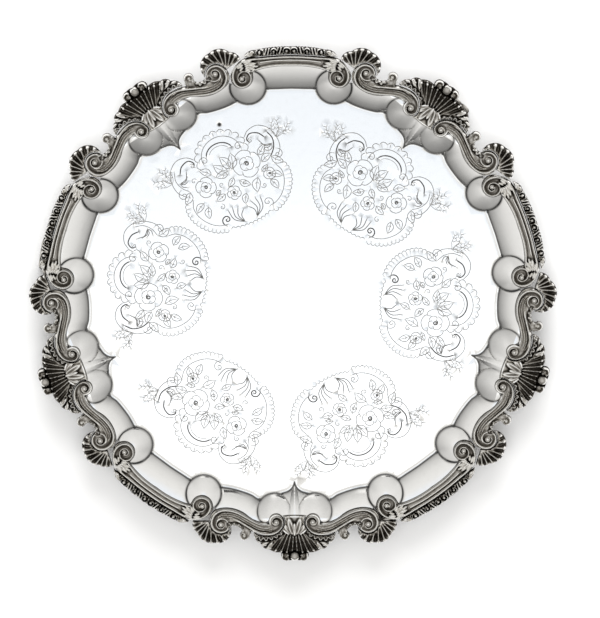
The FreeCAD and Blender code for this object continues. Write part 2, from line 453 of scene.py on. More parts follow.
def double_scroll():
    """S-shaped moulding between two volutes, with a frill and a small curl outside it."""
    relief = Relief((6, 161), (68, 191), "double_scroll_1", tarnish=0.24)
    x, y, outline = relief.x, relief.y, relief.outline
    relief.add(outline, 2.3)
    eye = (14.2, 173.9)
    coil = spiral(eye, 5.1, 1.2, 180, 520)[::-1]
    body = smooth_path([(9.1, 173.9), (9.7, 177.4), (12.2, 180.8), (16.2, 182.9), (21.0, 183.6),
                        (26.0, 182.8), (31.0, 180.6), (36.0, 177.6), (41.0, 174.6), (45.5, 172.6),
                        (50.0, 171.6)])
    relief.ridge(np.vstack([coil, body[2:]]), ((0, 0.55), (0.3, 0.8), (0.45, 1.25), (0.75, 1.2), (1, 0.5)),
                 ((0, 4.2), (0.3, 4.4), (0.5, 5.0), (0.8, 4.6), (1, 3.2)))
    relief.boss(eye, 2.3, 5.7)
    inner = smooth_path([
        (55.0, 175.4), (54.8, 177.4), (56.6, 179.2), (59.4, 178.4), (60.7, 175.4), (59.2, 172.4),
        (55.9, 171.2), (52.6, 172.7), (51.1, 176.4), (52.8, 180.5), (57.6, 182.0), (62.6, 179.6),
        (64.4, 174.2), (62.2, 168.2), (56.8, 164.8), (50.4, 164.7), (44.2, 166.6), (38.0, 170.0),
        (32.0, 173.6), (27.0, 175.9), (22.8, 176.6), (19.8, 176.2)])
    relief.ridge(inner, ((0, 0.6), (0.25, 0.85), (0.5, 1.3), (0.7, 1.15), (1, 0.5)),
                 ((0, 3.4), (0.3, 4.2), (0.55, 4.6), (1, 3.2)))
    relief.boss((57.2, 175.9), 2.3, 5.0)
    vein = smooth_path([(17.4, 179.5), (22.0, 180.2), (27.0, 179.6), (32.0, 177.4), (38.0, 173.8),
                        (44.0, 170.2), (50.0, 168.2), (56.0, 168.2), (60.2, 171.0)])
    for shift in (-1.3, 0.3, 1.9):
        relief.ridge(vein + (0.3 * shift, shift), 0.5, 3.7)
    frill = smooth_path([(41.4, 178.4), (44.2, 176.4), (47.8, 175.7), (51.0, 175.9)])
    relief.level(np.minimum(1.9 - nearest_on(frill, x, y)[0], y - 173.6), 1.6)
    relief.ridge(zigzag(frill, 1.0, 3.6), 0.5, 4.2, 0.3)
    curl = smooth_path([(34.6, 180.6), (35.0, 184.0), (37.0, 187.2), (40.2, 187.6), (41.9, 185.2),
                        (40.6, 182.9), (38.4, 183.4)])
    relief.ridge(curl, 0.75, 4.0)
    relief.boss((39.2, 185.0), 1.6, 4.2)
    relief.ridge(smooth_path([(41.6, 183.2), (40.6, 180.8), (38.8, 178.9)]), 0.6, 3.6)
    return relief


def small_shell():
    """Fan of rounded ribs behind the outer volute."""
    relief = Relief((48, 170), (82, 194), "small_shell_1")
    x, y, outline = relief.x, relief.y, relief.outline
    root_x, root_y = 65.0, 172.0
    dx, dy = x - root_x, y - root_y
    radius = np.hypot(dx, dy)
    angle = np.degrees(np.arctan2(dx, dy))
    rim = ((-70, 17.6), (-37, 20.4), (-9, 19.6), (19, 18.4), (41, 16.4), (62, 15.4), (85, 14.4))
    ribs = np.linspace(-64, 80, 10)
    off_rib = np.min([np.abs(angle - rib) for rib in ribs], axis=0)
    across = np.radians(off_rib) * radius
    step = ribs[1] - ribs[0]
    edge = np.interp(angle, *zip(*rim)) - radius + 0.9 * np.cos(np.radians(off_rib / step * 360))
    share = radius / np.interp(angle, *zip(*rim))
    crest = np.interp(share, [0.1, 0.5, 0.85, 1.0], [2.6, 3.8, 5.0, 3.8])
    width = np.interp(share, [0.3, 1], [0.5, 1.0])
    relief.add(outline, 1.2)
    relief.add(np.minimum(edge, outline), ribbed(across, np.radians(step) * radius, crest,
                                                 2.4 * np.clip(share * 1.5, 0, 1), width))
    for rib in ribs:
        reach = np.interp(rib, *zip(*rim)) - 1.5
        turn = math.radians(rib)
        relief.boss((root_x + reach * math.sin(turn), root_y + reach * math.cos(turn)), 1.5, 5.2)
    relief.tarnish = 0.32 + 0.14 * np.clip(share, 0, 1)
    return relief


def long_scroll():
    """C-shaped moulding with a volute and leaves at each end, in its own middle frame."""
    relief = Relief((-47, 162), (47, 192), "long_scroll_1", sector_turn(0, SECTOR_ANGLE / 2), 0.15)
    relief.add(relief.outline, 1.8)
    for side in (-1, 1):
        mirror = np.array((side, 1))
        volute = smooth_path(np.array([
            (0, 188.9), (10.0, 188.6), (20.0, 187.8), (29.0, 187.0), (36.0, 185.2), (41.2, 181.2),
            (43.6, 175.6), (42.8, 169.8), (39.0, 166.2), (34.2, 166.4), (30.6, 169.6), (30.0, 174.0),
            (32.4, 177.4), (36.4, 177.8), (39.4, 175.2), (39.6, 171.4), (37.0, 169.4), (34.2, 170.6),
            (34.0, 173.2), (35.8, 174.4)]) * mirror)
        relief.ridge(volute, ((0, 1.25), (0.45, 1.2), (0.6, 1.0), (1, 0.6)),
                     ((0, 4.4), (0.5, 4.6), (1, 4.0)))
        relief.boss((side * 36.9, 172.4), 2.1, 5.0)
        fillet = smooth_path(np.array([(0, 182.6), (12, 182.2), (22, 180.5), (29.0, 178.2),
                                       (32.6, 178.6)]) * mirror)
        relief.ridge(fillet, 1.25, 4.0)
        inner = smooth_path(np.array([(0, 186.3), (12, 185.9), (23, 184.6)]) * mirror)
        relief.ridge(inner, 0.9, 2.7)
        relief.level(5.0 - np.hypot(relief.x - side * 31.5, (relief.y - 182.0) * 1.25), 1.2)
        for root, tip, width in (((36.5, 184.4), (29.8, 186.0), 1.35), ((36.0, 183.2), (26.2, 184.1), 1.4),
                                 ((35.5, 181.9), (24.8, 181.9), 1.45), ((35.0, 180.6), (26.4, 179.5), 1.3),
                                 ((34.8, 179.6), (30.0, 177.8), 1.1), ((35.5, 183.4), (40.2, 180.2), 1.3),
                                 ((35.4, 181.4), (38.6, 178.2), 1.1)):
            relief.petal(root, tip, width, 5.2, 1.2, side)
    return relief


def gadroon():
    """Strip of short slanting ribs with curls, sloping down outwards, symmetric about x = 0."""
    relief = Relief((-38, 186), (38, 198), "gadroon_1", sector_turn(0, SECTOR_ANGLE / 2), 0.52)
    x, y, outline = relief.x, relief.y, relief.outline
    radius = np.hypot(x, y)
    middle = 193
    along = np.abs(np.arctan2(x, y)) * middle + 0.35 * (radius - middle)
    pitch = 2.25
    rib = np.abs(np.sin(np.pi * along / pitch)) ** 0.8
    slope = np.interp(radius, [189.5, 191.5, 194.5, 197], [2.6, 4.2, 4.0, 2.2])
    notch = 1.5 * (1 - rib) * (radius > middle)
    relief.add(np.minimum(outline, 197 - radius - notch), slope - 2.7 * (1 - rib))
    relief.add(np.minimum(outline, 190.9 - radius), 3.0)
    curl = np.array([(-1.0, -0.7), (-0.95, 0.45), (0, 0.95), (0.9, 0.4), (0.75, -0.5), (0, -0.7)])
    for side in (-1, 1):
        for mark, size in ((2.8, 2.7), (12.6, 2.3), (23.4, 2.9), (29.0, 1.7)):
            spot = mark / middle
            reach = middle + 0.4
            centre = (side * reach * math.sin(spot), reach * math.cos(spot))
            relief.carve(size + 0.7 - np.hypot(x - centre[0], y - centre[1]), 1.4)
            relief.boss(centre, size * 0.5, 5.4)
            relief.ridge(smooth_path(centre + size * curl * (side, 1)), 0.5, 4.8)
        for root, tip in (((27.0, 192.2), (34.8, 189.6)), ((28.5, 190.6), (33.2, 189.0))):
            relief.petal(root, tip, 1.0, 4.2, 0.6, side)
    return relief


FOOT_PROFILE = ((185.4, 27.6), (191.6, 27.6), (194.4, 20.2), (191.7, 12.6), (191.9, 8.8), (195.6, 8.2),
                (198.4, 4.4), (195.0, 0.3), (189.8, 0.3), (185.0, 3.6), (185.4, 12.4), (187.6, 20.2))
FOOT_HALF_WIDTH = 12.3
FOOT_ANGLES = (50, 170, 290)


def foot():
    """A scrolled bracket with three lobes across it, its middle along +Y."""
    profile = smooth_path(FOOT_PROFILE, 8, closed=True)
    _, normal = directions_along(profile)
    if np.sum(normal * (profile - profile.mean(axis=0))) < 0:
        normal = -normal
    shares = np.sin(np.linspace(-math.pi / 2, math.pi / 2, 41))
    verts = []
    patina_and_shade = []
    for share in shares:
        inset = 1.6 * (1 - math.sqrt(max(0.0, 1 - share ** 4)))
        lobe = 0.75 * (1 - abs(math.cos(1.5 * math.pi * share)) ** 0.5)
        ring = profile - normal * (inset + lobe)
        ring[:, 1] = np.maximum(ring[:, 1], 0.0)
        verts += [(share * FOOT_HALF_WIDTH, radius, height) for radius, height in ring]
        patina_and_shade += [min(1.0, 0.25 + 0.8 * lobe)] * len(ring)
    size = len(profile)
    faces = []
    for row in range(len(shares) - 1):
        for spot in range(size):
            after = (spot + 1) % size
            faces.append((row * size + spot, row * size + after, (row + 1) * size + after,
                          (row + 1) * size + spot))
    faces.append(tuple(range(size))[::-1])
    faces.append(tuple((len(shares) - 1) * size + spot for spot in range(size)))
    mesh = make_mesh("foot", np.array(verts), faces, patina_and_shade)
    shape = bmesh.new()
    shape.from_mesh(mesh)
    bmesh.ops.recalc_face_normals(shape, faces=shape.faces)
    shape.to_mesh(mesh)
    shape.free()
    return mesh


# ---------------------------------------------------------------- the plate

# Half of one sector, from a large shell's axis to the middle of a long scroll
FLAT_EDGE = ((0, 144.5), (0.9, 147.6), (2.6, 150.2), (5.4, 152.2), (9, 153.4), (17, 155.4), (27, 158.5),
             (33.5, 155), (41, 152.1), (49, 149.8), (57, 148.5), (68, 146.8), (79, 143.5), (87.7, 138),
             (96.1, 132.3))
LIP_EDGE = ((0, 171), (5, 170.9), (10, 170.7), (18, 171.6), (26, 177), (33, 173.6), (41, 170.5), (50, 168),
            (58, 166), (64, 161.5), (70, 158.5), (77, 161), (84, 163), (96.5, 157.2), (108.4, 149.3))
# The lip's radius by the angle in degrees from that axis
LIP_RADII = ((0, 171), (6, 172.5), (12, 176), (24, 176), (28, 182), (36, 184.5))
NEAR_BUBBLE = {"centre": (16.0, 166.5), "radius": 13.0, "bulge": 1.1, "crease": 0.28}
FAR_BUBBLE = {"centre": (70.5, 152.5), "radius": 13.7, "bulge": 1.2, "crease": 0.42}
CREASE_WIDTH = 0.6
FOLD = 0.55
SHOULDER = 0.8
SHOULDER_REACH = 4.0
PANEL_CROWN = 0.5
DOME_BLEND = 3.0
DOME_CROWN = 0.08
PIT_ANGLE = 112
PIT_RADIUS = 146.5
PIT_CENTRE = PIT_RADIUS * np.array((math.cos(math.radians(PIT_ANGLE)), math.sin(math.radians(PIT_ANGLE))))
PIT_DEPTH = 0.5
TONGUE_TIP = FLAT_EDGE[0][1]
TONGUE_SPREAD = 0.17
TONGUE_HEIGHT = 0.9
TONGUE_FOLDS = 0.14
FLAT_GROOVE = 0.3
EDGE_PATINA = 0.7
CREASE_PATINA = 1.6
# Painted shade: how dark the band round each dome grows towards the lip
DOME_LIP_SHADE = 0.16
PIT_PATINA = 1.4
FIELD_REACH = 158
FIELD_MARGIN = 4.4
LIP_STEPS = 60
CUT_PATINA = 4.4


def distance_to(path, x, y):
    """Distance to a path that runs from a sector's axis outwards, positive beyond it."""
    distance = distance_to_line(path, x, y)
    edge = np.interp(np.arctan2(x, y), np.arctan2(path[:, 0], path[:, 1]), np.hypot(*path.T))
    return np.where(np.hypot(x, y) > edge, distance, -distance)


def folded(x, y):
    """A point in the half sector's frame, for points in the row's own directions."""
    radius = np.hypot(x, y)
    sector = math.radians(SECTOR_ANGLE)
    turn = (np.arctan2(x, -y) + sector / 2) % sector - sector / 2
    return radius * np.sin(np.abs(turn)), radius * np.cos(turn)


def panel_relief(x, y):
    """Height above the flat of the panelled side, and its patina with painted shade round the domes."""
    local_x, local_y = folded(x, y)
    radius = np.hypot(x, y)
    flat_path = resampled(smooth_path(FLAT_EDGE), 160)
    depth_in = distance_to(flat_path, local_x, local_y)
    turn = np.degrees(np.arctan2(local_x, local_y))
    lips = [np.interp(turn + shift, *zip(*LIP_RADII)) for shift in (-3, -1, 1, 3)]
    to_lip = np.maximum(np.mean(lips, axis=0) - radius, 0)
    outward = np.maximum(depth_in, 0)
    share = outward / np.maximum(outward + to_lip, 1e-6)
    climb = (RISE - FOLD) * (share + PANEL_CROWN * share * (1 - share))
    climb += SHOULDER * (1 - np.exp(-outward / SHOULDER_REACH)) * (1 - share)
    height = climb + FOLD * smoothstep(depth_in / CREASE_WIDTH)
    height -= FLAT_GROOVE * bump(depth_in + 1.0, 1.0)
    patina_and_shade = EDGE_PATINA * bump(depth_in - 0.1, 0.6)
    tongue = local_x / (1.0 + TONGUE_SPREAD * np.maximum(local_y - TONGUE_TIP, 0))
    crown = np.clip(1 - tongue ** 2, 0, None) ** 0.7 * smoothstep((local_y - TONGUE_TIP) / 9)
    folds = np.cos(1.6 * np.pi * tongue) * np.clip(1 - (tongue / 1.5) ** 2, 0, None)
    height += TONGUE_HEIGHT * crown + TONGUE_FOLDS * folds * smoothstep((local_y - 149) / 8)
    for bubble, fade in ((NEAR_BUBBLE, smoothstep((local_x - 2.5) / 6.0)), (FAR_BUBBLE, 1.0)):
        centre_x, centre_y = bubble["centre"]
        size = bubble["radius"]
        gap = np.hypot(local_x - centre_x, local_y - centre_y) - size
        ratio = 1 + gap / size
        deep = 0.5 * (depth_in - gap + np.sqrt((depth_in + gap) ** 2 + DOME_BLEND ** 2))
        risen = deep / np.maximum(deep + to_lip, 1e-6)
        dome = RISE * (risen + DOME_CROWN * risen * (1 - risen))
        dome += bubble["bulge"] * np.clip(1 - ratio ** 2, 0, None)
        height = np.where(gap < 0, height * (1 - fade) + dome * fade, height)
        height -= fade * bubble["crease"] * bump(gap, 0.7)
        patina_and_shade = np.where(gap < -0.8, patina_and_shade * (1 - fade), patina_and_shade)
        patina_and_shade = np.maximum(patina_and_shade, fade * CREASE_PATINA * bubble["crease"] * bump(gap, 0.6))
        # Painted shade: a darker band round each dome's edge, stronger towards the lip.
        patina_and_shade += fade * DOME_LIP_SHADE * smoothstep(2 * share - 0.5) * bump(gap, 1.8)
    off_pit = np.hypot(x - PIT_CENTRE[0], y - PIT_CENTRE[1])
    height -= PIT_DEPTH * bump(off_pit, 1.1)
    patina_and_shade = np.maximum(patina_and_shade, PIT_PATINA * bump(off_pit, 1.3))
    return height, patina_and_shade


def every_sector(points):
    """Points of one sector, repeated in all of them."""
    return np.vstack([turned(points, sector_turn(sector)) for sector in range(SECTORS)])


def panel_points(along_count, fold_steps, shares, bubble_rings, ring_step):
    """Points over the panelled side, dense along its folds. The last ring is the lip."""
    flat_path = resampled(smooth_path(FLAT_EDGE), along_count)
    lip_path = resampled(smooth_path(LIP_EDGE), LIP_STEPS)
    lip_here = resampled(smooth_path(LIP_EDGE), along_count)
    reach = np.hypot(*(lip_here - flat_path).T)[:, None]
    steps = [flat_path + (lip_here - flat_path) / reach * step for step in fold_steps]
    steps += [flat_path + (lip_here - flat_path) * share for share in shares]
    panel = np.vstack(steps)
    for bubble in (NEAR_BUBBLE, FAR_BUBBLE):
        centre = np.array(bubble["centre"])
        size = bubble["radius"]
        panel = panel[np.hypot(*(panel - centre).T) > size + 1.6]
        rings = [centre[None, :]]
        for gap in bubble_rings:
            count = max(8, int(2 * math.pi * (size + gap) / ring_step))
            rings.append(circle(centre, size + gap, count))
        panel = np.vstack([panel, *rings])
    low_enough = -distance_to(resampled(lip_path, 300), panel[:, 0], panel[:, 1]) > 0.6
    angle = np.degrees(np.arctan2(panel[:, 0], panel[:, 1]))
    panel = panel[low_enough & (angle > -0.01) & (angle < SECTOR_ANGLE / 2 + 0.01)]
    whole = [every_sector(np.vstack([half, half * (-1, 1)])) for half in (panel, lip_path[:-1])]
    middle_turns = np.radians(180 + SECTOR_ANGLE * (np.arange(SECTORS) + 0.5))
    middles = math.hypot(*LIP_EDGE[-1]) * np.stack([np.sin(middle_turns), np.cos(middle_turns)], axis=1)
    pit = [circle(PIT_CENTRE, size, 16) for size in (0.02, 0.7, 1.3, 2.0, 2.8)]
    return np.vstack([*whole, middles, *pit])


def field_points(step):
    """Points over the flat, in rings, up to the foot of the panels."""
    points = [(0.0, 0.0)]
    radius = step
    while radius < FIELD_REACH:
        count = int(2 * math.pi * radius / step)
        turns = np.arange(count) * 2 * math.pi / count + radius
        points += list(zip(radius * np.cos(turns), radius * np.sin(turns)))
        radius += step
    points = np.array(points)
    to_panels = distance_to(resampled(smooth_path(FLAT_EDGE), 160), *folded(*points.T))
    return points[to_panels < -0.5 * step - FIELD_MARGIN]


def tongue_points():
    """Closer points over the pointed tongue in the middle of each sector."""
    across, up = np.meshgrid(np.arange(-6.0, 6.1, 0.8), np.arange(148.5, 169.0, 1.3))
    across, up = across.ravel(), up.ravel()
    kept = np.abs(across) < 1.0 + 0.28 * (up - TONGUE_TIP)
    return every_sector(np.stack([across[kept], up[kept]], axis=1))


def sheet_side(points, links=()):
    """Triangles over a side's points, without those outside the lip. Links are pairs of points that
    must share an edge; a point is new where two links cross."""
    points, order = np.unique(np.round(points, 4), axis=0, return_inverse=True)
    order = order.ravel().tolist()
    links = [(order[first], order[second]) for first, second in links if order[first] != order[second]]
    result = delaunay_2d_cdt([Vector(point) for point in points.tolist()], links, [], 0, 1e-5)
    points = np.array([tuple(point) for point in result[0]])
    new = [not origins for origins in result[3]]
    triangles = np.array([face for face in result[2] if len(face) == 3])
    centre_x, centre_y = folded(*points[triangles].mean(axis=1).T)
    lip_path = resampled(smooth_path(LIP_EDGE), LIP_STEPS)
    keep = distance_to(lip_path, centre_x, centre_y) < 0
    return points, triangles[keep], new


def plate_mesh():
    """The sheet: a panelled and chased top, a plain underside and the lip's edge between them."""
    strokes = all_chasing()
    bottoms = np.vstack([stroke["bottom"] for stroke in strokes])
    depths = np.concatenate([stroke["depths"] for stroke in strokes])
    tree = KDTree(len(bottoms))
    for index, point in enumerate(bottoms):
        tree.insert((*point, 0), index)
    tree.balance()
    ends = set(np.cumsum([len(stroke["bottom"]) for stroke in strokes]).tolist())
    links = [(index, index + 1) for index in range(len(bottoms) - 1) if index + 1 not in ends]
    field = field_points(4.1)
    field = field[[tree.find((*point, 0))[2] > 1.2 for point in field]]
    panel = panel_points(86, (-4.4, -3.2, -2.4, -1.8, -1.2, -0.7, -0.3, 0, 0.3, 0.6, 1.1, 1.9, 2.9),
                         (0.26, 0.36, 0.46, 0.56, 0.66, 0.76, 0.86, 0.94),
                         (-11.2, -9.4, -7.6, -6.0, -4.6, -3.2, -2.0, -1.2, -0.6, -0.2, 0.2, 0.7, 1.5), 1.35)
    sides = [stroke["sides"] for stroke in strokes]
    top_parts = np.vstack([bottoms, *sides, field, panel, tongue_points()])
    top_points, top_faces, new = sheet_side(top_parts, links)
    height, patina_and_shade = panel_relief(*top_points.T)
    for index, point in enumerate(top_points):
        _, nearest, gap = tree.find((*point, 0))
        if gap < 0.02 or new[index]:
            height[index] -= depths[nearest]
            patina_and_shade[index] = max(patina_and_shade[index], CUT_PATINA * depths[nearest])
    under_panel = panel_points(44, (-2.0, 0, 1.0), (0.25, 0.5, 0.75), (-10, -6, -2.5, 0, 1.2), 2.6)
    under_points, under_faces, _ = sheet_side(np.vstack([field_points(9.0), under_panel]))
    under_height, _ = panel_relief(*under_points.T)
    top = np.column_stack([top_points, FLAT_Z + height])
    under = np.column_stack([under_points, FLAT_Z + under_height - SHEET_GAUGE])
    below = {tuple(point): index + len(top) for index, point in enumerate(np.round(under_points, 3))}
    rim = boundary_edges(top_faces)
    walls = [(second, first, below[tuple(np.round(top_points[first], 3))],
              below[tuple(np.round(top_points[second], 3))]) for first, second in rim]
    faces = [*top_faces.tolist(), *(under_faces[:, ::-1] + len(top)).tolist(), *walls]
    patina_and_shade = np.concatenate([patina_and_shade, np.zeros(len(under))])
    return make_mesh("plate_sheet", np.concatenate([top, under]), faces, patina_and_shade)


# ---------------------------------------------------------------- the chasing

CARTOUCHE_ANGLES = (-64, -4, 56, 114, 173, 233)
# Half-widths of the cut lines
FINE = 0.21
THIN = 0.22
MIDRIB = 0.24
CURL = 0.26
LINE = 0.28
FEATHER = 0.34
BOLD = 0.50


def ellipse_arc(centre, radii, start, end):
    return around(centre, radii, np.radians(np.linspace(start, end, 40)))


def scallops(path, count, bulge):
    """Small arcs one after another along a path, on its left when bulge is above 0."""
    marks = resampled(path, count + 1)
    bow = ((0, 0), (0.12, 0.42), (0.3, 0.84), (0.5, 1), (0.7, 0.84), (0.88, 0.42), (1, 0))
    strokes = []
    for start, end in zip(marks[:-1], marks[1:]):
        step = end - start
        normal = np.array((-step[1], step[0])) / np.hypot(*step) * bulge
        arc = [start + step * share + normal * lift for share, lift in bow]
        strokes.append((smooth_path(arc, 4), LINE))
    return strokes


def beads(path, count, offset, width=0.42):
    """Punched dots along a path, moved to its left."""
    marks = resampled(path, count)
    _, normal = directions_along(marks)
    return [(np.array([mark - 0.2 * normal_here, mark + 0.2 * normal_here]), width)
            for mark, normal_here in zip(marks + normal * offset, normal)]


def chased_leaf(root, tip, bend):
    """A leaf's two sides, each with a short vein, and its midrib."""
    root, tip = np.array(root, float), np.array(tip, float)
    axis = tip - root
    normal = np.array((-axis[1], axis[0]))
    strokes = []
    for side in (-1, 1):
        belly = normal * side * 0.27
        edge = [root, root + axis * 0.3 + belly * 0.9 + normal * bend * 0.6,
                root + axis * 0.65 + belly * 0.85 + normal * bend * 0.7, tip]
        strokes.append((smooth_path(edge, 8), LINE))
        start = root + axis * 0.3 + normal * bend * 0.3
        strokes.append((np.array([start, start + axis * 0.16 + belly * 0.55]), THIN))
    midrib = [root, root + axis * 0.5 + normal * bend * 0.6, root + axis * 0.86 + normal * bend * 0.3]
    strokes.append((smooth_path(midrib, 8), MIDRIB))
    return strokes


def chased_rose(centre, radius, petals, spin):
    """Petal arcs in two rings round a small whorl."""
    strokes = [(spiral(centre, radius * 0.2, radius * 0.06, spin, 500), BOLD)]
    for ring, (low, high) in enumerate(((0.3, 0.52), (0.62, 1.0))):
        for petal in range(petals):
            start = math.radians(spin + ring * 31 + petal * 360 / petals)
            span = math.radians(360 / petals)
            turns = start + span * np.array((-0.12, 0.1, 0.45, 0.8, 1.0))
            reach = radius * np.array((high * 0.86, high, high * 1.04, high * 0.94, low * 1.1))
            strokes.append((smooth_path(around(centre, (reach, reach), turns), 7), LINE if ring else CURL))
    return strokes


def plume(root, tips, bend):
    """A feathery leaf: curved strokes from one root to several tips."""
    root = np.array(root, float)
    strokes = []
    for tip in tips:
        axis = np.array(tip, float) - root
        normal = np.array((-axis[1], axis[0]))
        strokes.append((smooth_path([root, root + axis * 0.5 + normal * bend, tip], 10), FEATHER))
    return strokes


def cartouche_side(side):
    """The strokes on one side of a cartouche, right for 1 and left for -1."""
    arch_middle = 3
    corner = arch_middle + side

    def sided(points, inset=0):
        return np.array(points, float) * (side, 1) + (corner - side * inset, 0)

    sweep = sided([(19.8, 129.4), (25, 133.6), (33, 134.2), (40, 128.8), (43, 120), (42, 111.5), (37, 105.5)])
    hook = sided([(22.2, 124.4), (21.4, 127.6), (25.0, 130.6), (31.0, 128.6), (34.5, 123.6)])
    horn = sided([(37.6, 127.2), (39.6, 120.4), (37.6, 113.6), (33.0, 108.4)])
    flank = sided([(40.0, 103.0), (43.0, 96.0), (42.0, 87.0), (37.0, 78.5), (29.5, 72.0), (20.5, 68.5)], 2)
    lining = sided([(35.5, 101.5), (38.0, 95.0), (36.5, 87.0), (31.5, 79.5), (25.0, 75.0), (18.0, 73.5)], 2)
    upper_root, *upper_tips = sided([(37.5, 117), (29, 124), (30, 120), (31, 116.5), (33, 112.5)])
    lower_root, *lower_tips = sided([(4, 70), (12.5, 83.5), (8.5, 84.5), (4.5, 83.0), (1.0, 80.0)])
    strokes = [(spiral((arch_middle + side * 14.2, 125.3), 4.4, 0.8, 90 - side * 90, side * 430), LINE),
               (smooth_path(sweep), LINE),
               (smooth_path(hook), BOLD),
               (smooth_path(horn), BOLD if side < 0 else LINE),
               (spiral(sided((23.4, 125.6)), 2.2, 0.5, 90 - side * 30, side * 460), LINE)]
    strokes += plume(upper_root, upper_tips, side * 0.22)
    strokes.append((spiral(sided((38.5, 107.5)), 4.6, 0.9, 90 - side * 10, -side * 440), LINE))
    strokes += scallops(smooth_path(flank), 14, side * 1.2)
    strokes += beads(smooth_path(flank), 15, -side * 0.4, 0.36)
    strokes += spray(sided((42.5, 119.5)), side)
    strokes.append((smooth_path(lining), LINE))
    strokes.append((spiral(sided((16.0, 77.0)), 4.8, 0.7, 90 - side * 150, side * 520),
                    BOLD if side > 0 else LINE))
    strokes += plume(lower_root, lower_tips, -side * 0.2)
    for root, tip, bend in (((27, 96), (35, 91), 0.1), ((25, 92), (28, 83), 0.1),
                            ((33, 108), (40, 100.5), -0.1)):
        strokes += chased_leaf(sided(root), sided(tip), side * bend)
    return strokes


def cartouche():
    """One chased panel of scrolls, shell edging and roses, about (0, 104), its outside upwards."""
    arch = ellipse_arc((3, 124.5), (19.4, 17.6), 196, -14)
    strokes = scallops(arch, 11, 2.2)
    strokes += beads(arch, 11, 0.0)
    strokes.append((ellipse_arc((3, 124.5), (15.8, 14.2), 190, -8), LINE))
    strokes.append((ellipse_arc((4, 125.5), (10.8, 8.6), 168, 14), BOLD))
    strokes.append((ellipse_arc((4, 125.2), (8.6, 6.6), 160, 22), THIN))
    strokes += cartouche_side(-1)
    strokes += cartouche_side(1)
    hem = smooth_path([(-14.0, 69.5), (-7.0, 67.4), (3.0, 66.6), (13.0, 67.4), (20.0, 69.5)])
    strokes += scallops(hem, 10, 1.2)
    strokes += chased_rose((-11.5, 110.5), 10.5, 4, 20)
    strokes += chased_rose((24.5, 106.5), 7.6, 4, 50)
    strokes += chased_rose((6.5, 94.0), 5.2, 5, 10)
    strokes += chased_rose((-24.5, 96.5), 4.6, 3, 35)
    for root, tip, bend in (((2, 112), (5.5, 123.5), 0.12), ((4, 111), (12.5, 119.5), -0.12),
                            ((0.5, 111), (-3.5, 123), 0.1), ((5, 108.5), (14.5, 110.5), 0.1),
                            ((2, 105), (8.5, 100), -0.1), ((-1, 101), (-8, 94.5), 0.1),
                            ((-15, 97.5), (-10, 87), 0.12), ((13, 96), (21.5, 93.5), -0.1),
                            ((15, 100), (20, 97), 0.1), ((-22.5, 107), (-32, 110), -0.1),
                            ((-22, 113), (-29.5, 119), 0.1), ((16.5, 113.5), (24, 120), 0.1),
                            ((-19.5, 100.5), (-26, 103.5), 0.1), ((-2, 90), (2, 82.5), 0.1)):
        strokes += chased_leaf(root, tip, bend)
    for centre, start, sweep in (((-30, 114), 0, 420), ((31, 114.5), 180, -420), ((-3.5, 98), 90, 400),
                                 ((12.5, 103.5), 270, 380), ((-17, 90), 0, -420), ((19.5, 87.5), 120, 420)):
        strokes.append((spiral(centre, 2.6, 0.5, start, sweep), CURL))
    return strokes


def spray(root, side):
    """Thin twigs fanned out from a cartouche's upper corner."""
    strokes = []
    for number in range(6):
        turn = math.radians(8 + 19 * number)
        reach = 11.5 + 3.5 * math.sin(2.3 * number)
        tip = np.array(root) + reach * np.array((side * math.cos(turn), math.sin(turn)))
        axis = tip - root
        normal = np.array((-axis[1], axis[0]))
        bend = 0.12 if number % 2 else -0.12
        strokes.append((smooth_path([root, root + axis * 0.5 + normal * bend, tip], 10), FINE))
        for share in (0.5, 0.72, 0.94):
            spot = root + axis * share
            strokes.append((np.array([spot, spot + 0.14 * axis + 0.12 * normal]), LINE))
            strokes.append((np.array([spot, spot + 0.14 * axis - 0.12 * normal]), FINE))
    return strokes


def grooved(path, half_width):
    """Points of one cut line: its bottom, tapering at both ends, and its two sides."""
    length = lengths_along(path)[-1]
    count = max(3, int(length / min(2.2 * half_width, 0.65)) + 1)
    middle = resampled(path, count)
    share = np.linspace(0, 1, count)
    taper = min(0.25, 1.2 / length)
    width = half_width * np.clip(0.45 + 0.55 * np.minimum(share, 1 - share) / taper, 0, 1)
    tangent, normal = directions_along(middle)
    half_step = 0.5 * length / (count - 1)
    between = middle[:-1] + tangent[:-1] * half_step
    sides = [between + normal[:-1] * width[:-1, None] * side for side in (-1, 1)]
    return middle, np.vstack(sides), 0.55 * width


def all_chasing():
    """Every cut line on the flat. Neighbouring cartouches are mirror images."""
    cuts = []
    for number, centre in enumerate(CARTOUCHE_ANGLES):
        flip = -1 if number % 2 else 1
        turn = math.radians(centre - 90)
        for path, width in cartouche():
            bottom, sides, depths = grooved(np.asarray(path) * (flip, 1), width)
            cuts.append({"bottom": turned(bottom, turn), "sides": turned(sides, turn), "depths": depths})
    return cuts


# ---------------------------------------------------------------- materials


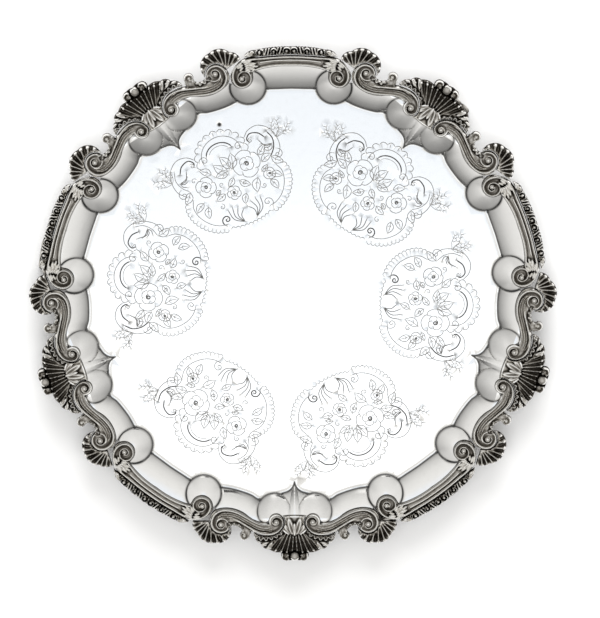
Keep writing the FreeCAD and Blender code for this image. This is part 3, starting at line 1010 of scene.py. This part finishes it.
def silver(name, tones, roughness, dark_roughness):
    """Silver that darkens where the attribute of patina and painted shade is high, with faint uneven tarnish.
    """
    material = bpy.data.materials.new(name)
    material.use_nodes = True
    nodes, links = material.node_tree.nodes, material.node_tree.links
    shader = nodes["Principled BSDF"]
    shader.inputs["Metallic"].default_value = 1.0
    patina_and_shade = nodes.new("ShaderNodeAttribute")
    patina_and_shade.attribute_name = "patina_and_shade"
    position = nodes.new("ShaderNodeTexCoord")
    grime = nodes.new("ShaderNodeTexNoise")
    grime.inputs["Scale"].default_value = 260
    grime.inputs["Detail"].default_value = 4
    links.new(position.outputs["Object"], grime.inputs["Vector"])
    tarnish = nodes.new("ShaderNodeMath")
    tarnish.operation = "MULTIPLY_ADD"
    links.new(grime.outputs["Fac"], tarnish.inputs[0])
    tarnish.inputs[1].default_value = 0.16
    links.new(patina_and_shade.outputs["Fac"], tarnish.inputs[2])
    ramp = nodes.new("ShaderNodeValToRGB")
    stops = ramp.color_ramp.elements
    for index, (position_on_ramp, colour) in enumerate(tones):
        stop = stops[index] if index < 2 else stops.new(position_on_ramp)
        stop.position = position_on_ramp
        stop.color = (*colour, 1)
    links.new(tarnish.outputs[0], ramp.inputs["Fac"])
    links.new(ramp.outputs["Color"], shader.inputs["Base Color"])
    rough = nodes.new("ShaderNodeMapRange")
    rough.inputs["From Min"].default_value = 0.3
    rough.inputs["From Max"].default_value = 0.95
    rough.inputs["To Min"].default_value = roughness
    rough.inputs["To Max"].default_value = dark_roughness
    links.new(tarnish.outputs[0], rough.inputs["Value"])
    links.new(rough.outputs["Result"], shader.inputs["Roughness"])
    return material


def floor_material():
    material = bpy.data.materials.new("studio_floor")
    material.use_nodes = True
    nodes, links = material.node_tree.nodes, material.node_tree.links
    shader = nodes["Principled BSDF"]
    shader.inputs["Roughness"].default_value = 0.9
    noise = nodes.new("ShaderNodeTexNoise")
    noise.inputs["Scale"].default_value = 3
    ramp = nodes.new("ShaderNodeValToRGB")
    ramp.color_ramp.elements[0].color = (0.93, 0.93, 0.93, 1)
    ramp.color_ramp.elements[1].color = (0.95, 0.95, 0.95, 1)
    links.new(noise.outputs["Fac"], ramp.inputs["Fac"])
    links.new(ramp.outputs["Color"], shader.inputs["Base Color"])
    return material


# ---------------------------------------------------------------- studio


def make_floor():
    mesh = bpy.data.meshes.new("studio_floor")
    half = 4.0
    mesh.from_pydata([(-half, -half, 0), (half, -half, 0), (half, half, 0), (-half, half, 0)], [],
                     [(0, 1, 2, 3)])
    floor = bpy.data.objects.new("studio_floor", mesh)
    bpy.context.collection.objects.link(floor)
    mesh.materials.append(floor_material())


# Greys from the horizon upwards, each at its direction's height
SKY = ((0.08, 0.05), (0.24, 0.165), (0.48, 0.28), (0.66, 0.42), (0.80, 0.54), (0.94, 0.62))
BELOW_COLOUR = (0.04, 0.04, 0.038, 1)
ZENITH_COLOUR = (0.64, 0.675, 0.72, 1)
SKY_STRENGTH = 1.45
FAR_SKY_STRENGTH = 1.16
FAR_SKY_Y = (-0.85, -0.45)
SOFTBOX_GAIN = 0.9
SOFTBOX_Y = (-0.205, -0.165)
SOFTBOX_Z = (0.93, 0.96)
WINDOW_GAIN = 1.1
WINDOW_X = (-0.30, -0.20, 0.22, 0.32)
WINDOW_Y = (0.66, 0.73, 0.84, 0.92)
CARD_X = 0.15
CARD_Y = 0.78
CARD_HALF_WIDTH = 0.13
CARD_HALF_HEIGHT = 0.06


def make_world():
    """Bright overhead with a softbox, greyer to the horizon and dimmer towards -Y, with a bright window
    and a dark card on the other side."""
    world = bpy.data.worlds.new("studio")
    bpy.context.scene.world = world
    world.use_nodes = True
    nodes, links = world.node_tree.nodes, world.node_tree.links

    def math_node(operation, first, second, third=None):
        node = nodes.new("ShaderNodeMath")
        node.operation = operation
        for socket, value in zip(node.inputs, (first, second, third)):
            if isinstance(value, bpy.types.NodeSocket):
                links.new(value, socket)
            elif value is not None:
                socket.default_value = value
        return node.outputs[0]

    def eased(value, low, high, start, end):
        node = nodes.new("ShaderNodeMapRange")
        node.interpolation_type = "SMOOTHSTEP"
        links.new(value, node.inputs["Value"])
        for socket, number in zip(("From Min", "From Max", "To Min", "To Max"), (low, high, start, end)):
            node.inputs[socket].default_value = number
        return node.outputs["Result"]

    def band(value, low_outer, low_inner, high_inner, high_outer):
        return math_node("MULTIPLY", eased(value, low_outer, low_inner, 0, 1),
                         eased(value, high_inner, high_outer, 1, 0))

    background = nodes["Background"]
    direction = nodes.new("ShaderNodeTexCoord")
    split = nodes.new("ShaderNodeSeparateXYZ")
    links.new(direction.outputs["Generated"], split.inputs["Vector"])
    ramp = nodes.new("ShaderNodeValToRGB")
    stops = ramp.color_ramp
    stops.elements[0].position = 0.0
    stops.elements[0].color = BELOW_COLOUR
    stops.elements[1].position = 1.0
    stops.elements[1].color = ZENITH_COLOUR
    for position, grey in SKY:
        stop = stops.elements.new(position)
        stop.color = (grey, grey * 0.985, grey * 0.955, 1)
    links.new(split.outputs["Z"], ramp.inputs["Fac"])
    links.new(ramp.outputs["Color"], background.inputs["Color"])
    box = math_node("MULTIPLY", eased(split.outputs["Z"], *SOFTBOX_Z, 0, 1),
                    eased(split.outputs["Y"], *SOFTBOX_Y, 1, 0))
    window = math_node("MULTIPLY", band(split.outputs["Y"], *WINDOW_Y), band(split.outputs["X"], *WINDOW_X))
    card = math_node("MULTIPLY", math_node("COMPARE", split.outputs["X"], CARD_X, CARD_HALF_WIDTH),
                     math_node("COMPARE", split.outputs["Y"], CARD_Y, CARD_HALF_HEIGHT))
    sky = eased(split.outputs["Y"], *FAR_SKY_Y, FAR_SKY_STRENGTH, SKY_STRENGTH)
    lift = math_node("MULTIPLY_ADD", box, SOFTBOX_GAIN, sky)
    lift = math_node("MULTIPLY_ADD", window, WINDOW_GAIN, lift)
    shaded = math_node("MULTIPLY", lift, math_node("SUBTRACT", 1.0, card))
    links.new(shaded, background.inputs["Strength"])


def make_light(name, size, energy, location):
    """A round lamp aimed at the origin."""
    light = bpy.data.lights.new(name, "AREA")
    light.shape = "DISK"
    light.size = size
    light.energy = energy
    lamp = bpy.data.objects.new(name, light)
    lamp.location = location
    lamp.rotation_euler = (-lamp.location).to_track_quat("-Z", "Y").to_euler()
    bpy.context.collection.objects.link(lamp)
    return lamp


VIEW_DISTANCE = 2.759
VIEW_TILT = 11.2
VIEW_LEAN = -1.06
VIEW_SPIN = 0.475
VIEW_CENTRE = (-0.0057, 0.0054)
VIEW_LENS = 216.0


def make_camera():
    """A long lens almost straight above, tilted so that the far edge of the tray is at the foot."""
    camera = bpy.data.objects.new("camera", bpy.data.cameras.new("camera"))
    camera.data.lens = VIEW_LENS
    camera.data.sensor_width = 36.0
    camera.data.sensor_fit = "HORIZONTAL"
    camera.data.clip_end = 20
    into_view = (Matrix.Rotation(math.radians(VIEW_TILT), 3, "X")
                 @ Matrix.Rotation(math.radians(VIEW_LEAN), 3, "Y")
                 @ Matrix.Rotation(math.radians(VIEW_SPIN), 3, "Z"))
    out_of_view = into_view.transposed()
    rim = Vector((0, 0, (LIP_Z + 3) * UNIT))
    place_of_camera = rim - out_of_view @ Vector((*VIEW_CENTRE, -VIEW_DISTANCE))
    camera.matrix_world = Matrix.Translation(place_of_camera) @ out_of_view.to_4x4()
    bpy.context.collection.objects.link(camera)
    bpy.context.scene.camera = camera


# ---------------------------------------------------------------- build

CAST_TONES = ((0.10, (0.92, 0.905, 0.87)), (1.0, (0.014, 0.011, 0.008)), (0.28, (0.64, 0.615, 0.575)),
              (0.44, (0.30, 0.28, 0.25)), (0.60, (0.10, 0.09, 0.077)), (0.80, (0.034, 0.029, 0.023)))
SHEET_TONES = ((0.08, (0.93, 0.93, 0.925)), (1.0, (0.045, 0.045, 0.05)), (0.25, (0.81, 0.805, 0.79)),
               (0.55, (0.30, 0.30, 0.30)))
cast_silver = silver("cast_silver_metal", CAST_TONES, 0.26, 0.55)
sheet_silver = silver("sheet_silver_metal", SHEET_TONES, 0.14, 0.4)

plate = plate_mesh()
finish_mesh(plate, 14)
plate_piece = bpy.data.objects.new("plate_sheet", plate)
bpy.context.collection.objects.link(plate_piece)
plate.materials.append(sheet_silver)
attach(plate_piece, "root")
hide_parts("plate")

shell = raised(relief_mesh(large_shell(), "large_shell"), LIP_Z)
scroll = raised(relief_mesh(double_scroll(), "double_scroll"), LIP_Z)
fan_mesh = raised(relief_mesh(small_shell(), "small_shell"), LIP_Z)
moulding = raised(relief_mesh(long_scroll(), "long_scroll"), LIP_Z)
strip = raised(relief_mesh(gadroon(), "gadroon"), LIP_Z)
scroll_pair = (scroll, mirrored_mesh(scroll))
fan_pair = (fan_mesh, mirrored_mesh(fan_mesh))
for sector in range(SECTORS):
    turn = sector_turn(sector)
    between = sector_turn(sector, SECTOR_ANGLE / 2)
    place(shell, "large_shell", sector + 1, turn, cast_silver)
    for side in (0, 1):
        number = 2 * sector + side + 1
        place(scroll_pair[side], "double_scroll", number, turn, cast_silver)
        place(fan_pair[side], "small_shell", number, turn, cast_silver)
    place(moulding, "long_scroll", sector + 1, between, cast_silver)
    place(strip, "gadroon", sector + 1, between, cast_silver)

bracket = foot()
for number, angle in enumerate(FOOT_ANGLES, 1):
    place(bracket, "foot", number, math.radians(angle - 90), cast_silver)

make_floor()
make_world()
make_light("key", 1.8, 60, (0.15, 2.3, 1.7)).visible_glossy = False
make_light("fill", 2.0, 24, (0, 0, 2.6)).visible_glossy = False
make_camera()
bpy.context.scene.view_settings.view_transform = "Standard"
